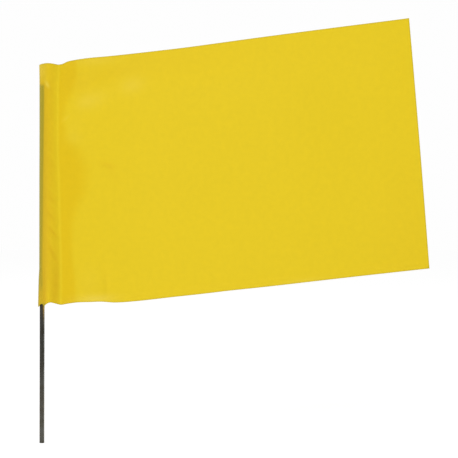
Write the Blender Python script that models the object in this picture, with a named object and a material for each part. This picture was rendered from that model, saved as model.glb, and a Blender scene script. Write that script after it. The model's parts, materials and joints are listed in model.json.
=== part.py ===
"""Wire stake flag: a plastic-film flag whose folded hoist edge makes a loose sleeve round a steel wire staff.

Metres, +Z up. The origin is the centre of the staff's lower end, +Z runs up the staff, the film flies
towards +X and its front faces -Y. The film is one folded and heat-sealed sheet on the real flag. Here it
is cut along two upright lines, so that it can swing and bend on hinges.
"""
import math

import bmesh
import bpy
from mathutils import Vector

# Staff
STAFF_LENGTH = 0.1487
WIRE_RADIUS = 0.001015
WIRE_SIDES = 32
TIP_CHAMFER = 0.00015

# Film sheet
FILM_THICKNESS = 0.00012
FILM_HEIGHT = 0.1016          # between the two long edges, square to them
FILM_REACH = 0.1546           # from the staff's axis to the middle of the fly edge
EDGE_RISE = math.radians(6.57)   # how far the long edges climb from level
FLY_LEAN = math.radians(4.66)    # how far the fly edge leans from upright
BEND_GAP = 0.0004             # between two strips that share a hinge, so that they can turn
LAYER_GAP = 0.0003            # between the hem flap and the panel it lies behind

# Sleeve round the staff
TIP_DEPTH = 0.0083            # how far the wire's upper end stands below the sleeve's upper opening
SLEEVE_GATHER = 0.0019        # height that the sheet loses where the sleeve is gathered
SLEEVE_REACH = 0.0070         # from the staff's axis to the heat seal
SEAL_WIDTH = 0.0015
FLAP_WIDTH = 0.0060           # loose edge of the hem past the seal
WIRE_CLEARANCE = 0.00025
LOOP_STEPS = 16

# Upright hinge lines in the film
HEM_MARGIN = 0.0016           # from the flap's free edge to the hem hinge
FLY_HINGE_REACH = 0.0830

# The way the film stands: flat behind the hem, then curving forward to a steady slant
BOW_LENGTH = 0.0300
BOW_SLOPE = math.radians(7.8)
EASE_LENGTH = 0.0280          # the long edges ease into the sleeve's ends over this length
COLUMN_STEP = 0.0050

SLEEVE_HEIGHT = FILM_HEIGHT - SLEEVE_GATHER
SLEEVE_FOOT = STAFF_LENGTH + TIP_DEPTH - SLEEVE_HEIGHT
HEM_HINGE_REACH = SLEEVE_REACH + SEAL_WIDTH + FLAP_WIDTH + HEM_MARGIN
HALF_FILM = FILM_THICKNESS / 2
LOOP_RADIUS = WIRE_RADIUS + WIRE_CLEARANCE + HALF_FILM
SLEEVE_MIDDLE = SLEEVE_FOOT + SLEEVE_HEIGHT / 2


def clear_scene():
    for old in list(bpy.data.objects):
        bpy.data.objects.remove(old, do_unlink=True)


def make_material(name, color, roughness, metallic=0.0):
    material = bpy.data.materials.new(name)
    material.use_nodes = True
    shader = material.node_tree.nodes["Principled BSDF"]
    shader.inputs["Base Color"].default_value = (*color, 1.0)
    shader.inputs["Roughness"].default_value = roughness
    shader.inputs["Metallic"].default_value = metallic
    return material


def add_object(name, bm, material, pivot):
    """Finish bm as a mesh object whose origin is pivot; bm is in world metres."""
    bmesh.ops.recalc_face_normals(bm, faces=bm.faces)
    bmesh.ops.translate(bm, verts=bm.verts, vec=-Vector(pivot))
    mesh = bpy.data.meshes.new(name)
    bm.to_mesh(mesh)
    bm.free()
    mesh.shade_smooth()
    mesh.set_sharp_from_angle(angle=math.radians(35))
    mesh.materials.append(material)
    obj = bpy.data.objects.new(name, mesh)
    obj.location = pivot
    bpy.context.scene.collection.objects.link(obj)
    return obj


def attach(child, parent):
    """Parent child to parent and keep its place in the world."""
    bpy.context.view_layer.update()
    child.parent = parent
    child.matrix_parent_inverse = parent.matrix_world.inverted()


# ---- the film's shape, as formulas of the distance out from the staff ----

def panel_depth(reach):
    """Y of the film's middle surface at a distance along +X."""
    past = max(0.0, reach - HEM_HINGE_REACH)
    slope = math.tan(BOW_SLOPE)
    if past < BOW_LENGTH:
        forward = slope * past * past / (2 * BOW_LENGTH)
    else:
        forward = slope * (past - BOW_LENGTH / 2)
    return -HALF_FILM - forward


def panel_middle(reach):
    """Height halfway between the two long edges."""
    return SLEEVE_MIDDLE + (reach - SLEEVE_REACH) * math.tan(EDGE_RISE)


def edge_height(reach, side):
    """Height of the top (side +1) or bottom (side -1) edge, eased into the sleeve's end."""
    straight = panel_middle(reach) + side * FILM_HEIGHT / 2 / math.cos(EDGE_RISE)
    at_seal = panel_middle(SLEEVE_REACH) + side * FILM_HEIGHT / 2 / math.cos(EDGE_RISE)
    sleeve_end = SLEEVE_MIDDLE + side * SLEEVE_HEIGHT / 2
    left = max(0.0, 1 - (reach - SLEEVE_REACH) / EASE_LENGTH)
    return straight + (sleeve_end - at_seal) * left * left


def fly_reach(side):
    """X of the fly edge's top (side +1) or bottom (side -1) corner."""
    half = FILM_HEIGHT / 2 * math.cos(FLY_LEAN)
    return FILM_REACH - side * half * math.tan(FLY_LEAN)


# ---- the pieces ----

def make_staff(material):
    bm = bmesh.new()
    bmesh.ops.create_cone(bm, cap_ends=True, segments=WIRE_SIDES, radius1=WIRE_RADIUS,
                          radius2=WIRE_RADIUS, depth=STAFF_LENGTH)
    bmesh.ops.translate(bm, verts=bm.verts, vec=(0, 0, STAFF_LENGTH / 2))
    rims = [e for e in bm.edges if abs(e.verts[0].co.z - e.verts[1].co.z) < TIP_CHAMFER]
    bmesh.ops.bevel(bm, geom=rims, offset=TIP_CHAMFER, affect="EDGES", segments=2,
                    profile=0.5, material=-1)
    return add_object("staff_wire", bm, material, (0, 0, 0))


def sleeve_ribs():
    """Inner and outer points of the sleeve's loop, from the seal's back, round the wire, to its front."""
    lean = math.asin(min(1.0, (LOOP_RADIUS - HALF_FILM) / SLEEVE_REACH))
    start = math.pi / 2 - lean
    turn = 2 * (math.pi - start)
    ribs = [(Vector((SLEEVE_REACH, 0, 0)), Vector((SLEEVE_REACH, FILM_THICKNESS, 0)))]
    for step in range(LOOP_STEPS + 1):
        angle = start + turn * step / LOOP_STEPS
        out = Vector((math.cos(angle), math.sin(angle), 0))
        ribs.append((out * (LOOP_RADIUS - HALF_FILM), out * (LOOP_RADIUS + HALF_FILM)))
    ribs.append((Vector((SLEEVE_REACH, 0, 0)), Vector((SLEEVE_REACH, -FILM_THICKNESS, 0))))
    return ribs


def make_sleeve(material):
    """The folded hoist: a loop round the wire, sealed onto the front film, with a loose flap behind."""
    bm = bmesh.new()
    seal_end = SLEEVE_REACH + SEAL_WIDTH
    flap_end = seal_end + FLAP_WIDTH
    front_end = HEM_HINGE_REACH - BEND_GAP / 2
    lift = LAYER_GAP
    ribs = [(bm.verts.new(a), bm.verts.new(b)) for a, b in sleeve_ribs()[:-1]]
    seal_inner, seal_back = ribs[0]
    seal_front = bm.verts.new((SLEEVE_REACH, -FILM_THICKNESS, 0))
    ribs.append((seal_inner, seal_front))
    for (a, b), (c, d) in zip(ribs, ribs[1:]):
        bm.faces.new((a, b, d, c))
    end_front, end_middle, end_back = (bm.verts.new((seal_end, y, 0))
                                       for y in (-FILM_THICKNESS, 0, FILM_THICKNESS))
    bm.faces.new((seal_front, end_front, end_middle, end_back, seal_back, seal_inner))
    front = [bm.verts.new((front_end, y, 0)) for y in (-FILM_THICKNESS, 0)]
    bm.faces.new((end_front, front[0], front[1], end_middle))
    rise = [bm.verts.new((seal_end + 2 * lift, y, 0)) for y in (lift, lift + FILM_THICKNESS)]
    flap = [bm.verts.new((flap_end, y, 0)) for y in (lift, lift + FILM_THICKNESS)]
    bm.faces.new((end_middle, rise[0], rise[1], end_back))
    bm.faces.new((rise[0], flap[0], flap[1], rise[1]))
    swept = bmesh.ops.extrude_face_region(bm, geom=bm.faces[:])
    top = [item for item in swept["geom"] if isinstance(item, bmesh.types.BMVert)]
    bmesh.ops.translate(bm, verts=top, vec=(0, 0, SLEEVE_HEIGHT))
    bmesh.ops.translate(bm, verts=bm.verts, vec=(0, 0, SLEEVE_FOOT))
    return add_object("film_sleeve", bm, material, (0, 0, SLEEVE_FOOT))


def make_panel(name, inner, outer, material):
    """A strip of film from reach inner to reach outer; None as outer ends it at the leaning fly edge."""
    bottom_end, top_end = (outer, outer) if outer else (fly_reach(-1), fly_reach(+1))
    columns = max(2, round((bottom_end - inner) / COLUMN_STEP))
    bm = bmesh.new()
    bmesh.ops.create_grid(bm, x_segments=columns, y_segments=1, size=0.5)
    for vert in bm.verts:
        side = 1 if vert.co.y > 0 else -1
        end = top_end if side > 0 else bottom_end
        reach = inner + (end - inner) * (vert.co.x + 0.5)
        vert.co = (reach, panel_depth(reach), edge_height(reach, side))
    panel = add_object(name, bm, material, (inner - BEND_GAP / 2, panel_depth(inner), SLEEVE_FOOT))
    wall = panel.modifiers.new("film wall", "SOLIDIFY")
    wall.thickness = FILM_THICKNESS
    wall.offset = 0.0
    wall.use_even_offset = True
    return panel


def build():
    clear_scene()
    steel = make_material("dark_steel_wire", (0.075, 0.072, 0.058), 0.45, 0.85)
    film = make_material("yellow_film", (0.79, 0.58, 0.022), 0.5)
    staff = make_staff(steel)
    sleeve = make_sleeve(film)
    hoist_panel = make_panel("film_panel_hoist", HEM_HINGE_REACH + BEND_GAP / 2,
                             FLY_HINGE_REACH - BEND_GAP / 2, film)
    fly_panel = make_panel("film_panel_fly", FLY_HINGE_REACH + BEND_GAP / 2, None, film)
    attach(sleeve, staff)
    attach(hoist_panel, sleeve)
    attach(fly_panel, hoist_panel)


build()
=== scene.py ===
# %% [markdown]
# # A wire stake flag
#
# The object is a small ground marker: one sheet of thin yellow plastic film, folded round a steel wire
# and heat-sealed to itself, so that its hoist edge is a slack sleeve. The CAD model gives the frame: how
# long the staff is, where the sleeve sits, and the upright lines about which the film bends. This script
# dresses that frame, so it starts by loading it and changes none of it.

# %% Load the frame
import json
import math

import bmesh
import bpy
import numpy as np
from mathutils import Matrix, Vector


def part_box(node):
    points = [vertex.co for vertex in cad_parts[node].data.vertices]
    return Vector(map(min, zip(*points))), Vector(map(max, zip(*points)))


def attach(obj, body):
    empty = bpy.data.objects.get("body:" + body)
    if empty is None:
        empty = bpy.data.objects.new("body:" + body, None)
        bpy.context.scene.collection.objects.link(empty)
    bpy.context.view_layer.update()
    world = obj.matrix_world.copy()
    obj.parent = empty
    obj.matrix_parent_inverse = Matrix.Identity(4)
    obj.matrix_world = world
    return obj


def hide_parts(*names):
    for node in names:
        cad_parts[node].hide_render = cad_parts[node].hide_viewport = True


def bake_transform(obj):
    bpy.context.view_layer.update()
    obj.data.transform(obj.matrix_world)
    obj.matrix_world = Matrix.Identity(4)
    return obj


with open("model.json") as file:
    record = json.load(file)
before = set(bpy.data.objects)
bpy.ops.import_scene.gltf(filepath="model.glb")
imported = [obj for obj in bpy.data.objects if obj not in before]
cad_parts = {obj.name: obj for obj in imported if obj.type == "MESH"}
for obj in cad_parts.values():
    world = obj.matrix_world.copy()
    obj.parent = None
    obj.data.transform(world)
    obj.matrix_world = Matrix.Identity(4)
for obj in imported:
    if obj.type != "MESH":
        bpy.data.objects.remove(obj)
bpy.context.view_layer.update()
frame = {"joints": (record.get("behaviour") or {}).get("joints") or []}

# %% [markdown]
# ## Measures
#
# Everything hangs on a few sizes. Those that the CAD fixes are read from the boxes of its nodes and from
# its joints, so that the film and the wire land where the solids are. The rest are what a person would
# measure on such a flag with a ruler: how thick the film is, where the seal runs, how far the loose flap
# behind it reaches.

# %% Sizes from the frame and from the bench
MM = 0.001
staff_low, staff_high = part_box("staff_wire")
WIRE_RADIUS = (staff_high.x - staff_low.x) / 2
STAFF_TIP = staff_high.z
SLEEVE_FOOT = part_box("film_sleeve")[0].z
FILM_WALL = 0.10 * MM
SEAL_WIDTH = 1.5 * MM
SEAL_MIDDLE = 7.5 * MM
FLAP_END = 14.5 * MM
HINGES = {j["name"]: Vector(j["pos_m"]) for j in frame["joints"]}
HEM_HINGE = HINGES["hem_bend"].x
FLY_HINGE = HINGES["fly_bend"].x
SPLIT = (HEM_HINGE + FLY_HINGE) / 2
print("wire", round(2000 * WIRE_RADIUS, 2), "mm thick; hinges at", round(HEM_HINGE, 4), round(FLY_HINGE, 4))

# %% [markdown]
# ## Camera
#
# The flag is looked at square on from a little over half a metre, with a long lens. At that distance the
# fly edge, which stands a few millimetres nearer than the staff, comes out just visibly taller. The lens
# follows from the distance and from the width that the frame takes in at the staff.

# %% Camera
SENSOR = 36.0
VIEW_DISTANCE = 0.650
VIEW_WIDTH = 0.19007
VIEW_CENTRE_X, VIEW_CENTRE_Z = 0.07752, 0.08877
camera_data = bpy.data.cameras.new("camera")
camera_data.sensor_width = SENSOR
camera_data.lens = SENSOR * VIEW_DISTANCE / VIEW_WIDTH
camera = bpy.data.objects.new("camera", camera_data)
camera.location = (VIEW_CENTRE_X, -VIEW_DISTANCE, VIEW_CENTRE_Z)
camera.rotation_euler = (math.radians(90), 0, 0)
bpy.context.scene.collection.objects.link(camera)
bpy.context.scene.camera = camera
print("lens", round(camera_data.lens, 1), "mm")

# %% [markdown]
# ## A white studio
#
# Film like this has hardly any shading of its own, so the light has to be even, and yet it must come from
# somewhere, or the folds of the sleeve vanish. Most of it is a white room all round, and a pale floor
# that is lit from below as a light table is, so that no shadow lies on it. A large soft lamp in front, to
# the left, adds the little direction that shows the folds, and a smaller one stands to the right, just
# behind the flag, for the thin bright line on that side of the wire. Colours are shown as they are,
# without a film-like curve, because the yellow has to stay saturated.

# %% Floor, room light and lamps
FLOOR_RADIUS = 6.0
FLOOR_GLOW = 0.62
ROOM_SEEN, ROOM_LIGHT = 0.99, 0.40
LAMP_PLACE, LAMP_TARGET, LAMP_SIZE, LAMP_POWER = (-0.75, -1.30, 0.95), (0.08, 0.0, 0.10), 0.7, 10.0
RIM_PLACE, RIM_TARGET, RIM_SIZE, RIM_POWER = (1.10, 0.32, 0.06), (0.0, 0.0, 0.03), 0.4, 5.0
bpy.context.scene.view_settings.view_transform = "Standard"


def make_floor():
    """A wide pale disc that glows a little, as a light table does."""
    bm = bmesh.new()
    bmesh.ops.create_circle(bm, cap_ends=True, segments=96, radius=FLOOR_RADIUS)
    mesh = bpy.data.meshes.new("studio_floor")
    bm.to_mesh(mesh)
    bm.free()
    material = bpy.data.materials.new("pale_floor")
    material.use_nodes = True
    shader = material.node_tree.nodes["Principled BSDF"]
    shader.inputs["Base Color"].default_value = (0.90, 0.90, 0.90, 1)
    shader.inputs["Roughness"].default_value = 0.9
    shader.inputs["Specular IOR Level"].default_value = 0.0
    shader.inputs["Emission Color"].default_value = (1, 1, 1, 1)
    shader.inputs["Emission Strength"].default_value = FLOOR_GLOW
    mesh.materials.append(material)
    floor = bpy.data.objects.new("studio_floor", mesh)
    bpy.context.scene.collection.objects.link(floor)


def make_room(seen, strength):
    """A white world: what the camera sees behind the floor, and the strength that lights the scene."""
    world = bpy.data.worlds.new("white_room")
    world.use_nodes = True
    tree = world.node_tree
    light = tree.nodes["Background"]
    light.inputs["Color"].default_value = (1, 1, 1, 1)
    light.inputs["Strength"].default_value = strength
    backdrop = tree.nodes.new("ShaderNodeBackground")
    backdrop.inputs["Color"].default_value = (seen, seen, seen, 1)
    path = tree.nodes.new("ShaderNodeLightPath")
    choose = tree.nodes.new("ShaderNodeMixShader")
    tree.links.new(path.outputs["Is Camera Ray"], choose.inputs["Fac"])
    tree.links.new(light.outputs["Background"], choose.inputs[1])
    tree.links.new(backdrop.outputs["Background"], choose.inputs[2])
    tree.links.new(choose.outputs["Shader"], tree.nodes["World Output"].inputs["Surface"])
    bpy.context.scene.world = world


def make_lamp(name, place, target, size, power):
    """A round soft lamp at a place, turned towards its target."""
    data = bpy.data.lights.new(name, "AREA")
    data.shape = "DISK"
    data.size = size
    data.energy = power
    lamp = bpy.data.objects.new(name, data)
    lamp.location = place
    lamp.rotation_euler = (Vector(target) - Vector(place)).to_track_quat("-Z", "Y").to_euler()
    bpy.context.scene.collection.objects.link(lamp)


make_floor()
make_room(ROOM_SEEN, ROOM_LIGHT)
make_lamp("soft_lamp", LAMP_PLACE, LAMP_TARGET, LAMP_SIZE, LAMP_POWER)
make_lamp("rim_lamp", RIM_PLACE, RIM_TARGET, RIM_SIZE, RIM_POWER)
print("studio ready")

# %% [markdown]
# ## Building blocks for the finishes
#
# Node trees are easier to read when a small helper places a node, sets its values and wires it up. Two
# effects are shared and become node groups: a soft mottle, which lightens and darkens a colour a little,
# and a fine grain for the height of a bump. Both read a position that the material hands in, so the film
# can use the flat sheet's own coordinates and the wire its place in space.

# %% Node helpers and shared groups


def add_node(tree, kind, values=None, **settings):
    """Place a node, with its settings and with the values of its unlinked inputs."""
    node = tree.nodes.new(kind)
    for key, value in settings.items():
        setattr(node, key, value)
    for key, value in (values or {}).items():
        node.inputs[key].default_value = value
    return node


def math_node(tree, operation, a, b=None):
    """A Math node whose inputs are numbers or sockets; gives its output."""
    node = tree.nodes.new("ShaderNodeMath")
    node.operation = operation
    for index, value in enumerate((a, b)):
        if value is None:
            continue
        if isinstance(value, (int, float)):
            node.inputs[index].default_value = value
        else:
            tree.links.new(value, node.inputs[index])
    return node.outputs[0]


MIX_SHARE, MIX_FIRST, MIX_SECOND, MIXED_COLOR = 0, 6, 7, 2  # a Mix node's sockets, by number


def mix_colors(tree, share, first, second):
    """Blend two colours, given as sockets or as plain colours, by a share socket."""
    node = add_node(tree, "ShaderNodeMix", data_type="RGBA")
    for index, value in ((MIX_SHARE, share), (MIX_FIRST, first), (MIX_SECOND, second)):
        if isinstance(value, tuple):
            node.inputs[index].default_value = (*value, 1)
        else:
            tree.links.new(value, node.inputs[index])
    return node.outputs[MIXED_COLOR]


def new_group(name, inputs, outputs):
    """A node group with named inputs and outputs, and its two end nodes."""
    group = bpy.data.node_groups.new(name, "ShaderNodeTree")
    for label, kind, value in inputs:
        socket = group.interface.new_socket(name=label, in_out="INPUT", socket_type=kind)
        if value is not None:
            socket.default_value = value
    for label, kind in outputs:
        group.interface.new_socket(name=label, in_out="OUTPUT", socket_type=kind)
    return group, group.nodes.new("NodeGroupInput"), group.nodes.new("NodeGroupOutput")


def use_group(tree, group, position, values):
    """Place a shared group in a material, fed by a position and with the material's own values."""
    node = tree.nodes.new("ShaderNodeGroup")
    node.node_tree = group
    tree.links.new(position, node.inputs["Position"])
    for key, value in values.items():
        node.inputs[key].default_value = value
    return node


def make_mottle():
    """Cloudy light and dark: a colour times one plus or minus a little."""
    group, given, result = new_group(
        "cloudy_mottle",
        [("Position", "NodeSocketVector", None), ("Patches per metre", "NodeSocketFloat", 300.0),
         ("Strength", "NodeSocketFloat", 0.03)],
        [("Factor", "NodeSocketFloat")])
    noise = add_node(group, "ShaderNodeTexNoise", {"Detail": 3.0, "Roughness": 0.55})
    group.links.new(given.outputs["Position"], noise.inputs["Vector"])
    group.links.new(given.outputs["Patches per metre"], noise.inputs["Scale"])
    centred = math_node(group, "SUBTRACT", noise.outputs["Fac"], 0.5)
    swing = math_node(group, "MULTIPLY", centred, given.outputs["Strength"])
    group.links.new(math_node(group, "ADD", math_node(group, "MULTIPLY", swing, 2.0), 1.0),
                    result.inputs["Factor"])
    return group


def make_grain():
    """Fine pebbled grain, such as a calendered film's matte face has: a height from 0 to 1."""
    group, given, result = new_group(
        "fine_grain",
        [("Position", "NodeSocketVector", None), ("Grains per metre", "NodeSocketFloat", 2500.0)],
        [("Height", "NodeSocketFloat")])
    noise = add_node(group, "ShaderNodeTexNoise", {"Detail": 2.0, "Roughness": 0.6})
    group.links.new(given.outputs["Position"], noise.inputs["Vector"])
    group.links.new(given.outputs["Grains per metre"], noise.inputs["Scale"])
    group.links.new(noise.outputs["Fac"], result.inputs["Height"])
    return group


MOTTLE = make_mottle()
GRAIN = make_grain()
print("shared groups:", MOTTLE.name, GRAIN.name)

# %% [markdown]
# ## The film's finish
#
# The film is a matte plastic that lets some light through. Where two layers lie on each other, in the
# sleeve and along the loose flap, it looks a touch deeper and more orange. Where it touches the steel the
# dark wire shows through as an olive band, painted as shade, since the wire stops the light that would
# come through the film; the band fades where the film stands off the wire, and painted shadow lies beside
# the wire. Both are worked out from the shape when the sheet is made and kept as attributes on its
# points, so they stay with the film when it bends. Real see-through shading would be noisy, and exports
# badly. The film also gets painted shade in the sleeve and the creases, a greyer painted sheen where it
# turns edge-on, painted highlights in a few pale patches, and a darker rim along the cut. Each of these
# has a colour and a mask of its own, laid over the last.

# %% Film material
SINGLE_LAYER = (0.772, 0.564, 0.0074)
DOUBLE_LAYER = (0.745, 0.512, 0.0006)
SHADED_FOLD = (0.685, 0.428, 0.0035)
# olive of the painted shade where the wire shows through the film
SHADOW_OVER_STEEL = (0.385, 0.310, 0.0170)
# greyish painted sheen where the film turns edge-on
TURN_SHEEN = (0.400, 0.380, 0.1700)
# pale colour of the painted highlights
HIGHLIGHT_COLOR = (0.850, 0.670, 0.1150)
EDGE_BAND = (0.480, 0.385, 0.0120)
EDGE_REACH, EDGE_STRENGTH = 0.55 * MM, 0.75
CUT_EDGE = (0.62, 0.47, 0.010)
FILM_ROUGHNESS, FILM_ROUGH_SWING = 0.42, 0.18


def point_value(tree, name):
    """A mask that is kept on the piece's points or faces."""
    return add_node(tree, "ShaderNodeAttribute", attribute_name=name).outputs["Fac"]


def make_film_material():
    material = bpy.data.materials.new("yellow_film")
    material.use_nodes = True
    tree = material.node_tree
    shader = tree.nodes["Principled BSDF"]
    sheet_place = add_node(tree, "ShaderNodeAttribute", attribute_name="flat_place").outputs["Vector"]

    color = mix_colors(tree, point_value(tree, "layers"), SINGLE_LAYER, DOUBLE_LAYER)
    color = mix_colors(tree, point_value(tree, "fold_shade"), color, SHADED_FOLD)
    # painted shade of the wire through the film, and painted shadow beside it
    color = mix_colors(tree, point_value(tree, "steel_shadow"), color, SHADOW_OVER_STEEL)
    # painted sheen at the turn of the fold
    color = mix_colors(tree, point_value(tree, "turned"), color, TURN_SHEEN)
    # painted highlights
    color = mix_colors(tree, point_value(tree, "highlight"), color, HIGHLIGHT_COLOR)
    near_edge = add_node(tree, "ShaderNodeMapRange",
                         {"From Max": EDGE_REACH, "To Min": EDGE_STRENGTH, "To Max": 0.0})
    tree.links.new(point_value(tree, "to_edge"), near_edge.inputs["Value"])
    color = mix_colors(tree, near_edge.outputs["Result"], color, EDGE_BAND)
    color = mix_colors(tree, point_value(tree, "cut_edge"), color, CUT_EDGE)

    broad = use_group(tree, MOTTLE, sheet_place, {"Patches per metre": 60.0, "Strength": 0.012})
    small = use_group(tree, MOTTLE, sheet_place, {"Patches per metre": 420.0, "Strength": 0.045})
    both = math_node(tree, "MULTIPLY", broad.outputs["Factor"], small.outputs["Factor"])
    scaled = add_node(tree, "ShaderNodeVectorMath", operation="SCALE")
    tree.links.new(color, scaled.inputs[0])
    tree.links.new(both, scaled.inputs["Scale"])
    tree.links.new(scaled.outputs[0], shader.inputs["Base Color"])

    grain = use_group(tree, GRAIN, sheet_place, {"Grains per metre": 3200.0})
    bump = add_node(tree, "ShaderNodeBump", {"Strength": 0.25, "Distance": 0.02 * MM})
    tree.links.new(grain.outputs["Height"], bump.inputs["Height"])
    tree.links.new(bump.outputs["Normal"], shader.inputs["Normal"])
    rough = math_node(tree, "MULTIPLY", grain.outputs["Height"], FILM_ROUGH_SWING)
    tree.links.new(math_node(tree, "ADD", rough, FILM_ROUGHNESS), shader.inputs["Roughness"])
    shader.inputs["Specular IOR Level"].default_value = 0.19
    return material


FILM = make_film_material()
print("film finish ready")

# %% [markdown]
# ## The wire's finish
#
# The staff is bare drawn wire. Drawing leaves fine lines along it, and the cheap steel goes dull and a
# little brown in storage. The lines are noise that is squeezed across the wire and stretched along it.
# Tarnish is a cloudy mask that pulls the colour to brown and takes away shine. Two more masks come with
# the shape: the wire's colour is darker towards the film, and on one side, where the wire comes out of
# the sleeve, lies a painted reflection of the yellow film.

# %% Wire material
BARE_STEEL = (0.098, 0.097, 0.084)
TARNISH = (0.070, 0.062, 0.044)
# painted reflection of the yellow film on the wire below the sleeve
FILM_REFLECTION = (0.270, 0.170, 0.035)
# share by which the wire's colour is darkened towards the film
DARKENING_SHARE = 0.50
WIRE_ROUGHNESS, TARNISH_ROUGHNESS = 0.34, 0.22


def make_wire_material():
    material = bpy.data.materials.new("dark_steel_wire")
    material.use_nodes = True
    tree = material.node_tree
    shader = tree.nodes["Principled BSDF"]
    place = add_node(tree, "ShaderNodeTexCoord").outputs["Object"]

    stretch = add_node(tree, "ShaderNodeMapping", {"Scale": (4200.0, 4200.0, 60.0)})
    tree.links.new(place, stretch.inputs["Vector"])
    lines = add_node(tree, "ShaderNodeTexNoise", {"Scale": 1.0, "Detail": 3.0, "Roughness": 0.6})
    tree.links.new(stretch.outputs["Vector"], lines.inputs["Vector"])

    clouds = add_node(tree, "ShaderNodeTexNoise", {"Scale": 260.0, "Detail": 4.0, "Roughness": 0.65})
    tree.links.new(place, clouds.inputs["Vector"])
    mask = add_node(tree, "ShaderNodeMapRange", {"From Min": 0.42, "From Max": 0.68})
    tree.links.new(clouds.outputs["Fac"], mask.inputs["Value"])
    color = mix_colors(tree, mask.outputs["Result"], BARE_STEEL, TARNISH)
    streak = add_node(tree, "ShaderNodeMapRange", {"To Min": 0.78, "To Max": 1.22})
    tree.links.new(lines.outputs["Fac"], streak.inputs["Value"])
    scaled = add_node(tree, "ShaderNodeVectorMath", operation="SCALE")
    tree.links.new(color, scaled.inputs[0])
    tree.links.new(streak.outputs["Result"], scaled.inputs["Scale"])
    darkened_up = math_node(tree, "MULTIPLY", point_value(tree, "darkened_up"), DARKENING_SHARE)
    kept = math_node(tree, "SUBTRACT", 1.0, darkened_up)
    duller = add_node(tree, "ShaderNodeVectorMath", operation="SCALE")
    tree.links.new(scaled.outputs[0], duller.inputs[0])
    tree.links.new(kept, duller.inputs["Scale"])
    # painted reflection of the yellow film
    color = mix_colors(tree, point_value(tree, "film_reflection"), duller.outputs[0], FILM_REFLECTION)
    tree.links.new(color, shader.inputs["Base Color"])

    rough = math_node(tree, "MULTIPLY", mask.outputs["Result"], TARNISH_ROUGHNESS)
    tree.links.new(math_node(tree, "ADD", rough, WIRE_ROUGHNESS), shader.inputs["Roughness"])
    bump = add_node(tree, "ShaderNodeBump", {"Strength": 0.35, "Distance": 0.02 * MM})
    tree.links.new(lines.outputs["Fac"], bump.inputs["Height"])
    tree.links.new(bump.outputs["Normal"], shader.inputs["Normal"])
    shader.inputs["Metallic"].default_value = 0.9
    return material


WIRE = make_wire_material()
print("wire finish ready")

# %% [markdown]
# ## The staff
#
# A wire is cut to length with a shear, so its ends aren't turned or chamfered: the blade rolls one side
# of the rim over more than the other. A plain cylinder with bevelled ends would look machined, so the
# staff starts as a circle, extruded ring by ring. The rings near each end are then drawn in, more on the
# blade's side, which gives that sheared look, and the bare end below the film is bent by a hair, as any
# handled wire is. Two masks are kept on its points: a painted reflection of the yellow film, on one side
# of the sleeve's mouth, and a darkening that grows upwards from a little above the foot.

# %% Staff
WIRE_SIDES = 48
RIM_ROLL = 0.16 * MM
ROLL_RINGS = (0.25, 0.6, 1.1, 1.8, 2.5)  # distances from an end, as shares of the roll
LEAST_ROLL = 0.35                        # share of the roll on the side away from the blade
FOOT_CUT_TURN, TIP_CUT_TURN = 0.6, 2.4
PLAIN_RINGS = 60
FOOT_BEND, BEND_START, BEND_POWER = 0.13 * MM, 57 * MM, 0.8
YELLOW_REACH, YELLOW_TURN, YELLOW_POWER = 4.2 * MM, 0.75, 18
DARKENING_START, DARKENING_RISE = 14 * MM, 22 * MM


def shear_roll(place, end, into):
    """How far a ring near an end is drawn in, more on the side where the blade came in."""
    depth = max(0.0, 1 - abs(place.z - end) / (ROLL_RINGS[-1] * RIM_ROLL))
    side = 0.5 + 0.5 * math.cos(math.atan2(place.y, place.x) - into)
    return RIM_ROLL * depth * depth * (LEAST_ROLL + (1 - LEAST_ROLL) * side)


def make_staff():
    rolls = [RIM_ROLL * share for share in ROLL_RINGS]
    heights = [*rolls, *np.linspace(rolls[-1], STAFF_TIP - rolls[-1], PLAIN_RINGS)[1:-1],
               *[STAFF_TIP - roll for roll in reversed(rolls)], STAFF_TIP]
    bm = bmesh.new()
    bmesh.ops.create_circle(bm, segments=WIRE_SIDES, radius=WIRE_RADIUS)
    edges = bm.edges[:]
    for height in heights:
        swept = bmesh.ops.extrude_edge_only(bm, edges=edges)["geom"]
        edges = [part for part in swept if isinstance(part, bmesh.types.BMEdge)]
        for vert in {vert for edge in edges for vert in edge.verts}:
            vert.co.z = height
    bmesh.ops.holes_fill(bm, edges=[edge for edge in bm.edges if edge.is_boundary], sides=0)
    for vert in bm.verts:
        pull = max(shear_roll(vert.co, 0.0, FOOT_CUT_TURN), shear_roll(vert.co, STAFF_TIP, TIP_CUT_TURN))
        ring = Vector((vert.co.x, vert.co.y, 0))
        vert.co -= ring.normalized() * pull
        vert.co.x -= FOOT_BEND * max(0.0, 1 - vert.co.z / BEND_START) ** BEND_POWER
    bmesh.ops.recalc_face_normals(bm, faces=bm.faces)
    mesh = bpy.data.meshes.new("staff_wire_drawn")
    film_reflection, darkened_up = (bm.verts.layers.float.new(name) for name in ("film_reflection", "darkened_up"))
    for vert in bm.verts:
        # a painted reflection of the yellow film beside the sleeve's mouth, and a darkening upwards
        mouth = math.exp(-((vert.co.z - SLEEVE_FOOT) / YELLOW_REACH) ** 2)
        lee = 0.5 + 0.5 * math.cos(math.atan2(vert.co.y, vert.co.x) + YELLOW_TURN)
        vert[film_reflection] = mouth * lee ** YELLOW_POWER
        vert[darkened_up] = min(1.0, max(0.0, (vert.co.z - DARKENING_START) / DARKENING_RISE))
    bm.to_mesh(mesh)
    bm.free()
    mesh.shade_smooth()
    mesh.set_sharp_from_angle(angle=math.radians(40))
    mesh.materials.append(WIRE)
    staff = bpy.data.objects.new("staff_wire_drawn", mesh)
    bpy.context.scene.collection.objects.link(staff)
    return staff


staff = make_staff()
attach(staff, "staff")
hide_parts("staff_wire")
print("staff:", len(staff.data.polygons), "faces")

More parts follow.
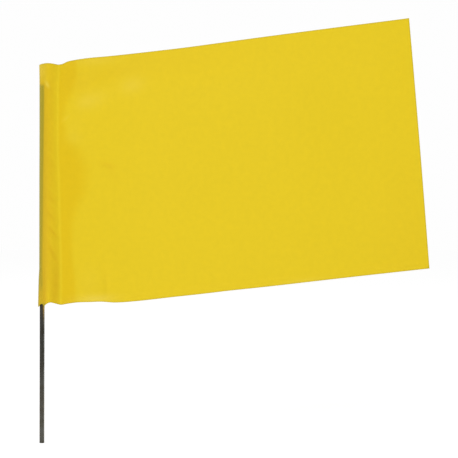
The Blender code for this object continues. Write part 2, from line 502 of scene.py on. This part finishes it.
# %% [markdown]
# ## The outline of the sheet
#
# The sheet was cut with two long edges and a fly edge, a little out of square with the wire. Far from the
# staff the long edges are nearly straight, with the slight waves that soft film has. Near the sleeve they
# wander by a millimetre, because the folded hoist is gathered: the lower corner hangs down past the wire,
# the edge rises over the slack part, and both ends dip where the seal pinches the layers together. Points
# that are close together there and far apart elsewhere, joined by a smooth curve, say all that.

# %% Edge curves
RISE = math.tan(math.radians(6.57))
RUN_ON = 100.0  # mm of straight edge past the last point, more than the fly edge needs
# (reach, height) in mm
TOP_POINTS = [(-1.6, 156.7), (-0.5, 157.05), (2.3, 157.52), (4.6, 157.32), (6.9, 157.0), (8.6, 157.35),
              (10.2, 158.14), (13.5, 158.9), (19.3, 159.75), (26.0, 160.32), (36.8, 161.35), (47.4, 162.41),
              (58.0, 163.47), (70.0, 164.88), (87.3, 166.97), (104.0, 168.91), (124.0, 171.16),
              (147.0, 173.70)]
BOTTOM_POINTS = [(-1.6, 56.45), (-1.2, 56.65), (-0.85, 57.35), (-0.4, 57.65), (0.3, 57.65), (0.62, 57.3),
                 (0.85, 56.65), (1.05, 56.6), (1.3, 57.2), (1.9, 57.65), (3.6, 58.32), (5.2, 57.98),
                 (7.7, 57.3), (10.2, 57.7), (13.5, 58.18), (20.2, 58.47), (24.3, 58.6), (30.0, 58.27),
                 (34.0, 58.43), (38.0, 58.77), (55.0, 60.73), (66.0, 61.98), (77.0, 63.34), (94.0, 65.23),
                 (110.0, 67.15), (128.0, 69.30), (147.0, 71.50)]


def smooth_curve(points):
    """Hermite curve through points and on along a rising straight line; gives height at a reach."""
    last_x, last_z = points[-1]
    known = [*points, (last_x + RUN_ON, last_z + RUN_ON * RISE)]
    xs, zs = (np.array([p[i] for p in known]) for i in (0, 1))
    slopes = np.gradient(zs, xs)
    slopes[-2:] = RISE

    def height(reach):
        x = np.clip(reach / MM, xs[0], xs[-1])
        i = np.clip(np.searchsorted(xs, x) - 1, 0, len(xs) - 2)
        width = xs[i + 1] - xs[i]
        t = (x - xs[i]) / width
        value = ((1 + 2 * t) * (1 - t) ** 2 * zs[i] + t * (1 - t) ** 2 * width * slopes[i]
                 + t * t * (3 - 2 * t) * zs[i + 1] + t * t * (t - 1) * width * slopes[i + 1])
        return value * MM
    return height


top_edge = smooth_curve(TOP_POINTS)
bottom_edge = smooth_curve(BOTTOM_POINTS)
print("film height at the seal:", round(1000 * (top_edge(SEAL_MIDDLE) - bottom_edge(SEAL_MIDDLE)), 2), "mm")

# %% [markdown]
# ## How the panel stands
#
# Behind the hem the panel is flat, then it curves forward and runs out at a steady slant, as the CAD
# solids do. Film that has been rolled and stacked is never quite flat: it keeps shallow waves and a few
# soft dents. A cloth simulation would put them where it likes, so each is a small bump on the flat sheet
# instead, with a place, a size, a turn and a height. One table says how the fold changes with height.

# %% Panel surface
BOW_SLOPE = math.tan(math.radians(7.8))
BOW_LENGTH = 30 * MM


def smooth_step(low, high, value):
    """From 0 at low to 1 at high, with no corner at either end."""
    t = np.clip((value - low) / (high - low), 0, 1)
    return t * t * (3 - 2 * t)


def panel_depth(reach):
    """Flat as far as the hem's hinge, then a parabola, then a straight slant, all towards the front."""
    past = np.maximum(0.0, reach - HEM_HINGE)
    curved = BOW_SLOPE * past * past / (2 * BOW_LENGTH)
    straight = BOW_SLOPE * (past - BOW_LENGTH / 2)
    return -FILM_WALL / 2 - np.where(past < BOW_LENGTH, curved, straight)


# place (reach, height), half-sizes (across, along), turn in degrees, height; all lengths in mm
DENTS = [
    (21, 148, 5.0, 9.0, -25, 0.35), (38, 152, 9.0, 5.0, 10, 0.25), (10, 139, 1.6, 7.0, 0, 0.12),
    (17, 128, 4.0, 9.0, -15, -0.22), (27, 115, 1.3, 4.0, 75, -0.12), (26.5, 66, 1.4, 9.0, 4, -0.16),
    (21, 61.5, 5.5, 3.2, 0, 0.28), (58, 96, 16, 12, 20, 0.30), (72, 150, 20, 7, 8, -0.30),
    (104, 120, 18, 26, -10, 0.45), (128, 92, 16, 14, 15, -0.40), (140, 152, 12, 16, -20, 0.35),
]
# height in mm, then how far the fold reaches past the wire's axis, how far the front wall swells, where
# the line pressed by the seal lies, and the band of painted shade where the steel shows through the film:
# how far to the right it reaches, how soft its border is, and how strong it is (0 to 1)
FOLD_BY_HEIGHT = [
    (56.0, 1.72, 0.95, 7.65, 0.30, 0.80, 0.38), (59.5, 1.70, 0.95, 7.75, 0.30, 0.80, 0.34),
    (62.5, 1.63, 0.95, 7.80, 0.30, 0.75, 0.42), (64.5, 1.58, 0.92, 7.85, 0.35, 0.70, 0.80),
    (66.0, 1.55, 0.90, 7.85, 0.35, 0.65, 0.98), (69.5, 1.45, 0.80, 7.85, 0.20, 0.65, 1.00),
    (72.6, 1.23, 0.75, 7.80, 0.14, 0.62, 1.00), (79.0, 1.22, 0.68, 7.70, 0.15, 0.62, 1.00),
    (85.0, 1.21, 0.60, 7.50, 0.28, 0.60, 1.00), (92.5, 1.21, 0.52, 7.30, 0.38, 0.57, 1.00),
    (99.0, 1.20, 0.45, 7.15, 0.44, 0.52, 0.97), (106.0, 1.19, 0.40, 7.00, 0.48, 0.46, 1.00),
    (114.0, 1.17, 0.34, 6.80, 0.56, 0.42, 1.00), (120.0, 1.14, 0.28, 6.50, 0.65, 0.42, 1.00),
    (130.0, 1.12, 0.25, 6.50, 0.76, 0.42, 1.00), (138.0, 1.12, 0.25, 6.50, 0.88, 0.40, 1.00),
    (145.0, 1.12, 0.25, 6.50, 0.92, 0.40, 1.00), (149.0, 1.12, 0.30, 6.60, 0.86, 0.40, 0.96),
    (152.5, 1.15, 0.42, 6.85, 0.80, 0.40, 0.95), (158.0, 1.26, 0.50, 7.20, 0.80, 0.40, 0.95),
]
FOLD_REACH, FRONT_SWELL, SEAL_LINE, BAND_END, BAND_SOFT, BAND_STRENGTH = range(1, 7)
RIDGE_AT_FOOT, RIDGE_AT_MOUTH, RIDGE_WIDTH = 0.05 * MM, 0.14 * MM, 0.80 * MM
RIDGE_GROWS = (140 * MM, 153 * MM)
RIDGE_INSET = 0.30 * MM
DENTS_START = 9.0 * MM


def by_height(column, height):
    """A column of the table above at any height, in metres; the band's strength is a plain share."""
    heights = [row[0] for row in FOLD_BY_HEIGHT]
    value = np.interp(height / MM, heights, [row[column] for row in FOLD_BY_HEIGHT])
    return value if column == BAND_STRENGTH else value * MM


def bumps(table, reach, height):
    """Sum of soft bumps on the flat sheet: each has a place, half-sizes, a turn and a height."""
    total = np.zeros_like(reach)
    for x, z, across, along, turn, rise in table:
        c, s = math.cos(math.radians(turn)), math.sin(math.radians(turn))
        dx, dz = reach / MM - x, height / MM - z
        u, v = (dx * c + dz * s) / across, (-dx * s + dz * c) / along
        total += rise * np.exp(-u * u - v * v)
    return total


def front_depth(reach, height):
    """The front layer: flat or bowed, with the line pressed by the seal, and the dents."""
    rise = RIDGE_AT_FOOT + (RIDGE_AT_MOUTH - RIDGE_AT_FOOT) * smooth_step(*RIDGE_GROWS, height)
    ridge = rise * np.exp(-((reach - by_height(SEAL_LINE, height)) / RIDGE_WIDTH) ** 2)
    free = smooth_step(DENTS_START, FLAP_END, reach)
    return panel_depth(reach) - ridge - free * bumps(DENTS, reach, height) * MM


print(len(DENTS), "soft dents in the panel")

# %% [markdown]
# ## The fold round the wire
#
# Seen from above, the hoist is a slack loop: the sheet comes back along the rear, turns round the wire,
# and runs forward again to the seal. Film is springy, so both walls stand out a little between the wire
# and the seal. How slack the loop is changes with height: tight against the wire over most of its
# length, wider above the wire's end, and standing off it at the lower corner. So the section is worked
# out anew at each height, as two straight walls that touch an arc, with a swelling added to each wall.
# Creases run slantwise across the front wall, and near the foot they gather into upright pleats.

# %% Section of the sleeve
BACK_SWELL = 0.55 * MM
ARC_SHARE = 0.65
CREASE_DEPTH, CREASE_SHADE = 0.55, 2.2
HALF_WALL = FILM_WALL / 2
LAYER_STEP = FILM_WALL + 0.004 * MM

# as DENTS: a ridge is positive, a valley negative
SLEEVE_CREASES = [
    (2.3, 148.7, 0.55, 1.40, 29, 0.16), (3.9, 146.2, 0.45, 1.80, 38, -0.04), (4.2, 153.0, 1.2, 3.5, 4, -0.05),
    (4.6, 128.5, 0.50, 2.2, 35, 0.04), (3.9, 119.5, 0.45, 2.4, 48, 0.05), (4.4, 115.0, 0.45, 2.6, 50, -0.06),
    (4.2, 104.8, 0.45, 2.4, 48, 0.10), (3.6, 101.6, 0.45, 2.4, 44, -0.07), (4.6, 98.5, 0.45, 2.2, 50, 0.09),
    (3.6, 94.3, 0.50, 2.2, 40, -0.12), (4.1, 90.2, 0.45, 2.4, 45, 0.07), (4.9, 87.0, 0.50, 3.0, 40, -0.16),
    (4.0, 84.3, 0.45, 2.2, 42, 0.10), (3.3, 81.9, 0.40, 1.6, 40, -0.07), (4.8, 82.0, 0.45, 2.4, 42, 0.11),
    (5.5, 81.2, 0.50, 2.4, 38, -0.10), (4.2, 79.6, 0.45, 2.0, 42, -0.13), (5.3, 76.8, 0.60, 3.0, 30, -0.13),
    (6.0, 66.5, 1.30, 9.0, -3, -0.17), (2.9, 61.0, 0.90, 6.0, 2, 0.14), (1.10, 63.0, 0.32, 9.0, 0, -0.16),
]


def sleeve_section(share, height):
    """Middle of the film at a share of the way round the loop, from the seal's rear to its front."""
    left = by_height(FOLD_REACH, height) - HALF_WALL
    seal = by_height(SEAL_LINE, height) - RIDGE_INSET
    tight = WIRE_RADIUS + HALF_WALL
    radius = tight + ARC_SHARE * (left - tight)
    centre = radius - left
    span = seal - centre
    touch = np.arccos(radius / span)
    wall = np.sqrt(span ** 2 - radius ** 2)
    arc = 2 * radius * (math.pi - touch)
    along = share * (2 * wall + arc)
    turn = np.clip(touch + (along - wall) / radius, touch, 2 * math.pi - touch)
    x = centre + radius * np.cos(turn)
    y = radius * np.sin(turn)
    rear = np.clip(1 - along / wall, 0, 1)
    front = np.clip((along - wall - arc) / wall, 0, 1)
    out = rear + front
    seal_y = front_depth(seal, height) + LAYER_STEP * (rear > 0)
    x, y = x + (seal - x) * out, y + (seal_y - y) * out
    swell = np.where(rear > 0, BACK_SWELL, -by_height(FRONT_SWELL, height)) * np.sin(math.pi * out) ** 1.5
    free = np.where(front > 0, np.sin(math.pi * out) ** 0.5, 0)
    return x, y + swell - free * CREASE_DEPTH * bumps(SLEEVE_CREASES, x, height) * MM


loop_x, loop_y = sleeve_section(np.linspace(0, 1, 200), np.full(200, 100 * MM))
LOOP_LENGTH = float(np.hypot(np.diff(loop_x), np.diff(loop_y)).sum())
print("film round the loop:", round(1000 * LOOP_LENGTH, 2), "mm")

# %% [markdown]
# ## From a flat grid to the folded sheet
#
# A sheet is easiest to make flat and then fold. Each strip starts as one grid. A list of stations says
# what each stretch of the grid's columns becomes, in the order in which a finger would meet them: loose
# flap, seal, loop, seal, panel. A column's station gives its place seen from above. Its points are then
# spread between the two edge curves, so the outline is right whatever the fold does.

# %% Stations along the sheet
SEAL_END_MEAN = SEAL_MIDDLE + SEAL_WIDTH / 2
# name, columns, length on the flat sheet
STATIONS = [("flap", 12, FLAP_END - SEAL_END_MEAN), ("seal_rear", 4, SEAL_WIDTH), ("loop", 76, LOOP_LENGTH),
            ("seal_front", 6, SEAL_WIDTH), ("panel", 60, SPLIT - SEAL_END_MEAN)]
HOIST_COLUMNS = sum(columns for _, columns, _ in STATIONS)
HOIST_WIDTH = sum(length for _, _, length in STATIONS)
ROWS = 150
REAR_SHORTER = 0.35 * MM
FLAP_LIFT = 0.45 * MM
FLAP_WAVES = [(0.45, 9.0 * MM, 0.0), (0.25, 3.7 * MM, 1.0)]  # share of the lift, length over 2 pi, phase
REAR_ENDS, FRONT_STARTS = 0.35, 0.60                         # shares of the way round the loop


def spread(reach, up):
    """Height of a point at a share of the way up from the lower edge to the upper one."""
    low, high = bottom_edge(reach), top_edge(reach)
    return low + up * (high - low)


def hoist_place(station, share, up):
    """(x, y) and how far to the rear, 0 to 1, for points of one station."""
    height = spread(SEAL_MIDDLE, up)
    if station == "loop":
        x, y = sleeve_section(share, height)
        return x, y, 1 - smooth_step(REAR_ENDS, FRONT_STARTS, share)
    seal_start = by_height(SEAL_LINE, height) - RIDGE_INSET
    seal_end = seal_start + SEAL_WIDTH
    first, last = {"flap": (FLAP_END, seal_end), "seal_rear": (seal_end, seal_start),
                   "seal_front": (seal_start, seal_end), "panel": (seal_end, SPLIT)}[station]
    x = first + (last - first) * share
    z = height if station.startswith("seal") else spread(x, up)
    y = front_depth(x, z)
    if station in ("flap", "seal_rear"):
        wave = 1 + sum(rise * np.sin(z / length + phase) for rise, length, phase in FLAP_WAVES)
        y = y + LAYER_STEP + FLAP_LIFT * smooth_step(seal_end, FLAP_END, x) * wave
        return x, y, np.ones_like(x)
    return x, y, np.zeros_like(x)


print("hoist strip:", HOIST_COLUMNS, "columns;", round(1000 * HOIST_WIDTH, 1), "mm wide when laid flat")

# %% [markdown]
# ## Folding and thickening
#
# One helper serves both strips: make the grid, ask a function where each point goes, write the point's
# place on the flat sheet and its masks as attributes, and give the film its wall. The wall is made real
# at once, so that the cut edges can be kept crisp, and coloured, while the faces stay smooth.

# %% Sheet helper
MASKS = ("layers", "fold_shade", "steel_shadow", "turned", "highlight")


def thicken(obj):
    """Give the sheet its wall, keep the cut edges sharp and mark their faces."""
    flat = obj.data
    wall = obj.modifiers.new("wall", "SOLIDIFY")
    wall.thickness = FILM_WALL
    wall.offset = 0.0
    mesh = bpy.data.meshes.new_from_object(obj.evaluated_get(bpy.context.evaluated_depsgraph_get()))
    rim = (np.arange(len(mesh.polygons)) >= 2 * len(flat.polygons)).astype(np.float32)
    mesh.attributes.new("cut_edge", "FLOAT", "FACE").data.foreach_set("value", rim)
    mesh.shade_smooth()
    mesh.set_sharp_from_angle(angle=math.radians(50))
    obj.modifiers.clear()
    obj.data = mesh
    bpy.data.meshes.remove(flat)
    mesh.name = obj.name


def fold_sheet(name, columns, rows, fold):
    """A grid of columns by rows whose points go where fold(share along, share up) says."""
    bm = bmesh.new()
    bmesh.ops.create_grid(bm, x_segments=columns, y_segments=rows, size=0.5)
    shares = np.array([v.co[:2] for v in bm.verts]) + 0.5
    made = fold(shares[:, 0], shares[:, 1])
    for vert, place in zip(bm.verts, made["place"]):
        vert.co = place
    mesh = bpy.data.meshes.new(name)
    bm.to_mesh(mesh)
    bm.free()
    flat_place = mesh.attributes.new("flat_place", "FLOAT_VECTOR", "POINT")
    flat_place.data.foreach_set("vector", made["flat"].ravel())
    for label in MASKS:
        mesh.attributes.new(label, "FLOAT", "POINT").data.foreach_set("value", np.clip(made[label], 0, 1))
    mesh.attributes.new("to_edge", "FLOAT", "POINT").data.foreach_set("value", made["to_edge"])
    mesh.materials.append(FILM)
    obj = bpy.data.objects.new(name, mesh)
    bpy.context.scene.collection.objects.link(obj)
    bpy.context.view_layer.update()
    thicken(obj)
    print(name + ":", len(obj.data.polygons), "faces")
    return obj


print("masks on a sheet's points:", ", ".join(MASKS))

# %% [markdown]
# ## Masks
#
# Layers is one where film lies on film. Behind the panel the loose flap touches it at some heights and
# stands off at others, so the line of its edge is crisp in places and soft in others, and beside the
# crease at mid height the deeper tone runs on past it. Fold shade is painted shade, deepest beside the
# wire, where the loop is closed and little light gets in, and in the valleys of the creases. Where the
# film touches the wire, the wire shows through as full painted shade, which fades as the film leaves it;
# painted shadow also lies beside the wire, along the turn, and in a spot at the lower corner. Turned is
# the outermost line of the fold, where the film is seen edge-on and gets a greyer painted sheen. Painted
# highlights are a few soft pale patches. The distance to the nearest cut edge is kept too: the blade
# leaves a darker rim. All this could be painted by hand, but worked out from the shape it stays true
# when a size changes.

# %% Mask functions
# height, then where the deeper tone of the doubled film ends, and how soft that end is; all in mm
FLAP_SHOWS = [(56, 14.0, 1.0), (68, 13.6, 1.2), (78, 12.3, 1.3), (91, 12.4, 2.2), (98, 14.2, 3.0),
              (104, 17.5, 4.0), (114, 18.0, 4.5), (121, 15.0, 5.0), (126, 10.5, 3.0), (130, 9.8, 2.0),
              (134, 8.8, 2.0), (140, 9.8, 2.0), (146, 12.6, 2.2), (152, 14.2, 0.9), (160, 14.3, 0.8)]
STEEL_GAP, GAP_POWER = 0.60 * MM, 2.2
STEEL_ENDS = (STAFF_TIP - 0.5 * MM, STAFF_TIP + 0.2 * MM)
TURN_WIDTH, TURN_STRENGTH = 0.42 * MM, 0.50
WIRE_SHADOW, WIRE_SHADOW_ENDS = 0.15, (0.8 * MM, 2.8 * MM)
TURN_SHADOW, TURN_SHADOW_ENDS = 0.10, (-0.9 * MM, 0.3 * MM)
SHADE_AT_WIRE, SHADE_AT_MOUTH = 0.86, 0.42
SHADE_START = 1.0 * MM
MOUTH = (STAFF_TIP - 1 * MM, STAFF_TIP + 3 * MM)
CREASES_END = (-0.85 * MM, -0.15 * MM)  # from the line of the seal
DOUBLED_FROM = (-0.1 * MM, 1.1 * MM)    # from the line of the seal
# place (reach, height), half-sizes (across, along), turn in degrees, strength
# a spot of painted shadow of the wire at the film's lower corner
WIRE_SHADOW_SPOTS = [(0.95, 57.0, 0.60, 1.1, 0, 0.95)]
# painted highlights: soft pale patches where the film catches the light
HIGHLIGHT_PATCHES = [
    (2.2, 148.7, 0.60, 1.3, 29, 0.38), (-0.3, 154.6, 1.5, 4.0, 0, 0.20), (22, 158.6, 9.0, 1.8, 4, 0.12),
    (22, 59.6, 7.5, 1.8, 3, 0.36), (17.5, 141.5, 3.5, 2.6, 30, 0.10),
    (107, 67.4, 9.0, 0.9, 6.6, 0.13), (22, 142.6, 5.5, 3.4, 25, 0.12), (37.5, 148.2, 5.0, 3.2, 15, 0.15),
    (13.8, 126.5, 3.0, 2.4, 0, 0.06), (19.6, 66.5, 5.0, 6.5, 0, 0.04),
    (9.8, 134.6, 0.5, 1.9, -50, 0.12), (13.5, 131.0, 3.0, 6.0, -30, 0.04),
]
SHADED_PATCHES = [(150, 84, 14, 26, 5, 0.10), (40, 158, 42, 8, 6.6, 0.12), (15, 149, 6, 5, 0, 0.16),
                  (29, 153, 9.0, 2.4, 15, 0.10), (27.3, 115.3, 1.2, 3.6, 75, 0.26),
                  (29.6, 111.6, 1.1, 3.4, 25, 0.14), (26.1, 67.5, 1.1, 6.0, 3, 0.14)]


def flap_mask(x, z):
    """One as far as the doubled film shows, then falling softly to nothing."""
    heights = [row[0] for row in FLAP_SHOWS]
    edge, soft = (np.interp(z / MM, heights, [row[i] for row in FLAP_SHOWS]) * MM for i in (1, 2))
    return 1 - smooth_step(edge - soft, edge + soft, x)


def steel_shadow_mask(x, y, z):
    """Painted shade of the wire seen through the film, with painted shadow beside the wire and at the turn.
    """
    gap = np.maximum(np.hypot(x, y) - WIRE_RADIUS - HALF_WALL, 0)
    below_tip = 1 - smooth_step(*STEEL_ENDS, z)
    end, soft = by_height(BAND_END, z), by_height(BAND_SOFT, z)
    band = by_height(BAND_STRENGTH, z) * (1 - smooth_step(end - soft, end + soft, x))
    band = band * below_tip / (1 + (gap / STEEL_GAP) ** GAP_POWER)
    beside = WIRE_SHADOW * (1 - smooth_step(*WIRE_SHADOW_ENDS, x))
    beside += TURN_SHADOW * (1 - smooth_step(*TURN_SHADOW_ENDS, x))
    return band + (1 - band) * (beside + bumps(WIRE_SHADOW_SPOTS, x, z))


def turn_sheen_mask(x, z):
    """Painted sheen where the film turns round the wire and is seen nearly edge-on."""
    return TURN_STRENGTH * np.exp(-((x + by_height(FOLD_REACH, z)) / TURN_WIDTH) ** 2)


def sleeve_shade(x, z):
    """Depth of colour in the sleeve, from the wire to the line of the seal; less in the open mouth."""
    seal = by_height(SEAL_LINE, z)
    share = np.clip((x - SHADE_START) / (seal - SHADE_START), 0, 1)
    mouth = smooth_step(*MOUTH, z)
    deepest = SHADE_AT_WIRE + (SHADE_AT_MOUTH - SHADE_AT_WIRE) * mouth
    inside = 1 - smooth_step(seal + CREASES_END[0], seal + CREASES_END[1], x)
    return deepest * (1 - share) - CREASE_SHADE * bumps(SLEEVE_CREASES, x, z) * inside


print(len(HIGHLIGHT_PATCHES), "whitened places and", len(SHADED_PATCHES), "shaded ones")

# %% [markdown]
# ## The hoist strip
#
# This strip holds the loose flap, the seal, the sleeve and the panel as far as the middle of the inner
# half. It could be folded by simulation, but a pressed fold is the same each time, so the stations say
# where every column goes. The rear layers are a trifle shorter than the front, as a turned hem is.

# %% Hoist strip
ROUNDING = 1e-4


def fold_hoist(along, up):
    """Places and masks of the hoist strip's points, station by station."""
    x, y, rear, flat = (np.zeros_like(along) for _ in range(4))
    first, start = 0, 0.0
    for station, columns, length in STATIONS:
        share = (along * HOIST_COLUMNS - first) / columns
        mine = (share > -ROUNDING) & (share < 1 + ROUNDING)
        share = np.clip(share[mine], 0, 1)
        x[mine], y[mine], rear[mine] = hoist_place(station, share, up[mine])
        flat[mine] = start + share * length
        first, start = first + columns, start + length
    z = spread(x, up) + REAR_SHORTER * rear * (1 - 2 * up)
    seal = by_height(SEAL_LINE, z)
    doubled = smooth_step(seal + DOUBLED_FROM[0], seal + DOUBLED_FROM[1], x) * flap_mask(x, z)
    return {"place": np.column_stack([x, y, z]), "flat": np.column_stack([flat, np.zeros_like(x), z]),
            "layers": np.maximum(doubled, rear > 0.5),
            "fold_shade": np.maximum(sleeve_shade(x, z), 0) + bumps(SHADED_PATCHES, x, z),
            "steel_shadow": steel_shadow_mask(x, y, z), "turned": turn_sheen_mask(x, z),
            "highlight": bumps(HIGHLIGHT_PATCHES, x, z) * (1 - rear),
            "to_edge": np.minimum(z - bottom_edge(x), top_edge(x) - z)}


film_hoist = fold_sheet("film_sleeve_and_panel", HOIST_COLUMNS, ROWS, fold_hoist)

# %% [markdown]
# ## The fly strip
#
# The rest of the sheet, from the middle of the inner half to the fly edge. The whole sheet could be one
# grid, but a blend joins two bodies and the film crosses three, so it is made as two strips. The fly edge
# was cut a little out of square, so the columns fan out: they follow the wire's direction at the border
# and the fly edge at the far end. The border's points come from the same formulas as the hoist strip's
# last column, so the two strips meet exactly.

# %% Fly strip
FLY_COLUMNS = 92
FLY_TOP, FLY_BOTTOM, FLY_BOW = 150.37 * MM, 158.48 * MM, 0.17 * MM


def fold_fly(along, up):
    """Places and masks of the fly strip's points, between the border and the fly edge."""
    edge = FLY_BOTTOM + (FLY_TOP - FLY_BOTTOM) * up + FLY_BOW * np.sin(math.pi * up)
    x = SPLIT + along * (edge - SPLIT)
    z = spread(x, up)
    zero = np.zeros_like(x)
    return {"place": np.column_stack([x, front_depth(x, z), z]),
            "flat": np.column_stack([HOIST_WIDTH + x - SPLIT, zero, z]), "layers": zero, "steel_shadow": zero,
            "turned": zero, "fold_shade": bumps(SHADED_PATCHES, x, z),
            "highlight": bumps(HIGHLIGHT_PATCHES, x, z),
            "to_edge": np.minimum(np.minimum(z - bottom_edge(x), top_edge(x) - z), edge - x)}


film_fly = fold_sheet("film_panel_to_fly_edge", FLY_COLUMNS, ROWS, fold_fly)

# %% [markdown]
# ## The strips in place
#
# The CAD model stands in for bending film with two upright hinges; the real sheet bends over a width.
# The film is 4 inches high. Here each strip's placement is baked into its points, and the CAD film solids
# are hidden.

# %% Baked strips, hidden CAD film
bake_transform(film_hoist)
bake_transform(film_fly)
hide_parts("film_sleeve", "film_panel_hoist")
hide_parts("film_panel_fly")
